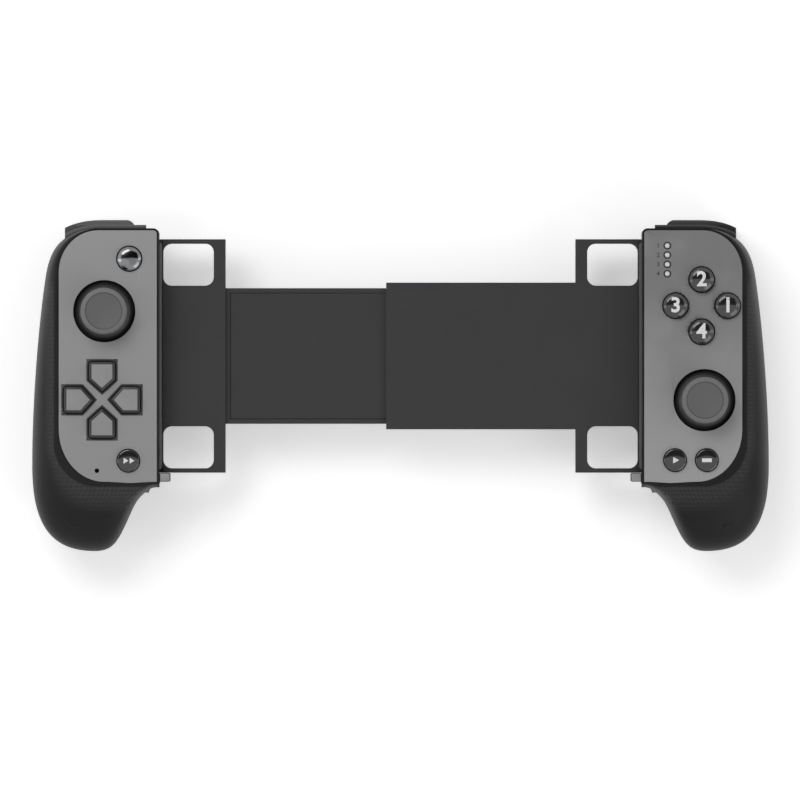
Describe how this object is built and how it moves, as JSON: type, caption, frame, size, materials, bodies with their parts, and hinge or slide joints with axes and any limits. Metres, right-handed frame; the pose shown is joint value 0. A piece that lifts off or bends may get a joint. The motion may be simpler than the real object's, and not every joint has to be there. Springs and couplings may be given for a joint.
{
  "type": "mobile game controller",
  "caption": "Telescopic game controller that clamps a phone between two grips, with two thumbsticks, direction keys, face keys, bumpers and triggers.",
  "frame": {"origin": "centre of the bounding box's bottom face", "axes": "+X across to the right grip, +Y towards the shoulder buttons, +Z out of the face"},
  "size_m": [0.221, 0.0994, 0.0384],
  "materials": {
    "shell_black": "satin, fine grip texture",
    "panel_left_grey": "satin",
    "panel_right_grey": "satin",
    "key_grey": "satin",
    "key_black": "gloss",
    "home_chrome": "mirror gloss",
    "stick_cap": "matt",
    "stick_black": "satin",
    "bridge_dark": "satin",
    "pad_rubber": "matt",
    "board_green": "solder mask",
    "mat_rubber": "matt",
    "steel": "bright",
    "lamp_clear": "clear",
    "battery_foil": "foil",
    "cable_film": "satin film"
  },
  "bodies": {
    "left_grip": {"left_front_shell": "shell_black", "left_rear_shell": "shell_black", "left_face_panel": "panel_left_grey", "left_cradle_pad": "pad_rubber", "left_cradle_stop": "shell_black", "left_circuit_board": "board_green", "left_stick_module": "steel", "left_trigger_pin": "steel", "left_trigger_spring": "steel", "left_shell_screws": "steel", "battery": "battery_foil", "dpad_mat": "mat_rubber", "home_mat": "mat_rubber", "turbo_mat": "mat_rubber", "slider_frame": "bridge_dark", "slider_lid": "bridge_dark", "return_springs": "steel", "link_cable": "cable_film"},
    "right_grip": {"right_front_shell": "shell_black", "right_rear_shell": "shell_black", "right_face_panel": "panel_right_grey", "right_cradle_pad": "pad_rubber", "right_cradle_stop": "shell_black", "right_circuit_board": "board_green", "right_stick_module": "steel", "right_trigger_pin": "steel", "right_trigger_spring": "steel", "right_shell_screws": "steel", "face_button_mat": "mat_rubber", "menu_mat": "mat_rubber", "lamp_guide": "lamp_clear", "charging_socket": "steel", "sleeve_front": "bridge_dark", "sleeve_back": "bridge_dark", "sleeve_screws": "steel"},
    "left_stick_gimbal": {"left_stick_gimbal": "stick_black"},
    "left_stick_post": {"left_stick_post": "stick_black"},
    "left_thumbstick": {"left_thumbstick": "stick_cap"},
    "right_stick_gimbal": {"right_stick_gimbal": "stick_black"},
    "right_stick_post": {"right_stick_post": "stick_black"},
    "right_thumbstick": {"right_thumbstick": "stick_cap"},
    "dpad_up": {"dpad_up": "key_grey"},
    "dpad_down": {"dpad_down": "key_grey"},
    "dpad_left": {"dpad_left": "key_grey"},
    "dpad_right": {"dpad_right": "key_grey"},
    "face_button_1": {"face_button_1": "key_black"},
    "face_button_2": {"face_button_2": "key_black"},
    "face_button_3": {"face_button_3": "key_black"},
    "face_button_4": {"face_button_4": "key_black"},
    "home_button": {"home_button": "home_chrome"},
    "turbo_button": {"turbo_button": "key_black"},
    "start_button": {"start_button": "key_black"},
    "select_button": {"select_button": "key_black"},
    "reset_button": {"reset_button": "key_black"},
    "left_bumper": {"left_bumper": "key_black"},
    "left_trigger": {"left_trigger": "key_black"},
    "right_bumper": {"right_bumper": "key_black"},
    "right_trigger": {"right_trigger": "key_black"}
  },
  "joints": [
    {"name": "bridge_slide", "type": "slide", "parent": "left_grip", "child": "right_grip", "axis": [1, 0, 0], "range_m": [-0.0474, 0.0166], "deforming": ["return_springs", "link_cable"]},
    {"name": "left_stick_up_down", "type": "hinge", "parent": "left_grip", "child": "left_stick_gimbal", "pos_m": [-0.0886, 0.0222, 0.0205], "axis": [1, 0, 0], "range_deg": [-14, 14], "stiffness_Nm_per_rad": 0.02},
    {"name": "left_stick_left_right", "type": "hinge", "parent": "left_stick_gimbal", "child": "left_stick_post", "pos_m": [-0.0886, 0.0222, 0.0205], "axis": [0, 1, 0], "range_deg": [-14, 14], "stiffness_Nm_per_rad": 0.02},
    {"name": "left_stick_click", "type": "slide", "parent": "left_stick_post", "child": "left_thumbstick", "axis": [0, 0, -1], "range_m": [0, 0.0005], "stiffness_N_per_m": 1500, "springref_m": -0.0008},
    {"name": "right_stick_up_down", "type": "hinge", "parent": "right_grip", "child": "right_stick_gimbal", "pos_m": [0.0909, -0.0044, 0.0205], "axis": [1, 0, 0], "range_deg": [-14, 14], "stiffness_Nm_per_rad": 0.02},
    {"name": "right_stick_left_right", "type": "hinge", "parent": "right_stick_gimbal", "child": "right_stick_post", "pos_m": [0.0909, -0.0044, 0.0205], "axis": [0, 1, 0], "range_deg": [-14, 14], "stiffness_Nm_per_rad": 0.02},
    {"name": "right_stick_click", "type": "slide", "parent": "right_stick_post", "child": "right_thumbstick", "axis": [0, 0, -1], "range_m": [0, 0.0005], "stiffness_N_per_m": 1500, "springref_m": -0.0008},
    {"name": "dpad_up_press", "type": "slide", "parent": "left_grip", "child": "dpad_up", "axis": [0, 0, -1], "range_m": [0, 0.0008], "stiffness_N_per_m": 500, "springref_m": -0.001, "deforming": ["dpad_mat"]},
    {"name": "dpad_down_press", "type": "slide", "parent": "left_grip", "child": "dpad_down", "axis": [0, 0, -1], "range_m": [0, 0.0008], "stiffness_N_per_m": 500, "springref_m": -0.001, "deforming": ["dpad_mat"]},
    {"name": "dpad_left_press", "type": "slide", "parent": "left_grip", "child": "dpad_left", "axis": [0, 0, -1], "range_m": [0, 0.0008], "stiffness_N_per_m": 500, "springref_m": -0.001, "deforming": ["dpad_mat"]},
    {"name": "dpad_right_press", "type": "slide", "parent": "left_grip", "child": "dpad_right", "axis": [0, 0, -1], "range_m": [0, 0.0008], "stiffness_N_per_m": 500, "springref_m": -0.001, "deforming": ["dpad_mat"]},
    {"name": "face_button_1_press", "type": "slide", "parent": "right_grip", "child": "face_button_1", "axis": [0, 0, -1], "range_m": [0, 0.0008], "stiffness_N_per_m": 500, "springref_m": -0.001, "deforming": ["face_button_mat"]},
    {"name": "face_button_2_press", "type": "slide", "parent": "right_grip", "child": "face_button_2", "axis": [0, 0, -1], "range_m": [0, 0.0008], "stiffness_N_per_m": 500, "springref_m": -0.001, "deforming": ["face_button_mat"]},
    {"name": "face_button_3_press", "type": "slide", "parent": "right_grip", "child": "face_button_3", "axis": [0, 0, -1], "range_m": [0, 0.0008], "stiffness_N_per_m": 500, "springref_m": -0.001, "deforming": ["face_button_mat"]},
    {"name": "face_button_4_press", "type": "slide", "parent": "right_grip", "child": "face_button_4", "axis": [0, 0, -1], "range_m": [0, 0.0008], "stiffness_N_per_m": 500, "springref_m": -0.001, "deforming": ["face_button_mat"]},
    {"name": "home_button_press", "type": "slide", "parent": "left_grip", "child": "home_button", "axis": [0, 0, -1], "range_m": [0, 0.0006], "stiffness_N_per_m": 500, "springref_m": -0.001, "deforming": ["home_mat"]},
    {"name": "turbo_button_press", "type": "slide", "parent": "left_grip", "child": "turbo_button", "axis": [0, 0, -1], "range_m": [0, 0.0006], "stiffness_N_per_m": 500, "springref_m": -0.001, "deforming": ["turbo_mat"]},
    {"name": "start_button_press", "type": "slide", "parent": "right_grip", "child": "start_button", "axis": [0, 0, -1], "range_m": [0, 0.0006], "stiffness_N_per_m": 500, "springref_m": -0.001, "deforming": ["menu_mat"]},
    {"name": "select_button_press", "type": "slide", "parent": "right_grip", "child": "select_button", "axis": [0, 0, -1], "range_m": [0, 0.0006], "stiffness_N_per_m": 500, "springref_m": -0.001, "deforming": ["menu_mat"]},
    {"name": "reset_button_press", "type": "slide", "parent": "left_grip", "child": "reset_button", "axis": [0, 0, -1], "range_m": [0, 0.00025], "stiffness_N_per_m": 500, "springref_m": -0.001},
    {"name": "left_bumper_press", "type": "slide", "parent": "left_grip", "child": "left_bumper", "axis": [0, -1, 0], "range_m": [0, 0.0008], "stiffness_N_per_m": 700, "springref_m": -0.001},
    {"name": "left_trigger_pull", "type": "hinge", "parent": "left_grip", "child": "left_trigger", "pos_m": [-0.0922, 0.0376, 0.012], "axis": [-1, 0, 0], "range_deg": [0, 12], "stiffness_Nm_per_rad": 0.03, "springref_deg": -17.19, "deforming": ["left_trigger_spring"]},
    {"name": "right_bumper_press", "type": "slide", "parent": "right_grip", "child": "right_bumper", "axis": [0, -1, 0], "range_m": [0, 0.0008], "stiffness_N_per_m": 700, "springref_m": -0.001},
    {"name": "right_trigger_pull", "type": "hinge", "parent": "right_grip", "child": "right_trigger", "pos_m": [0.0922, 0.0376, 0.012], "axis": [-1, 0, 0], "range_deg": [0, 12], "stiffness_Nm_per_rad": 0.03, "springref_deg": -17.19, "deforming": ["right_trigger_spring"]}
  ]
}
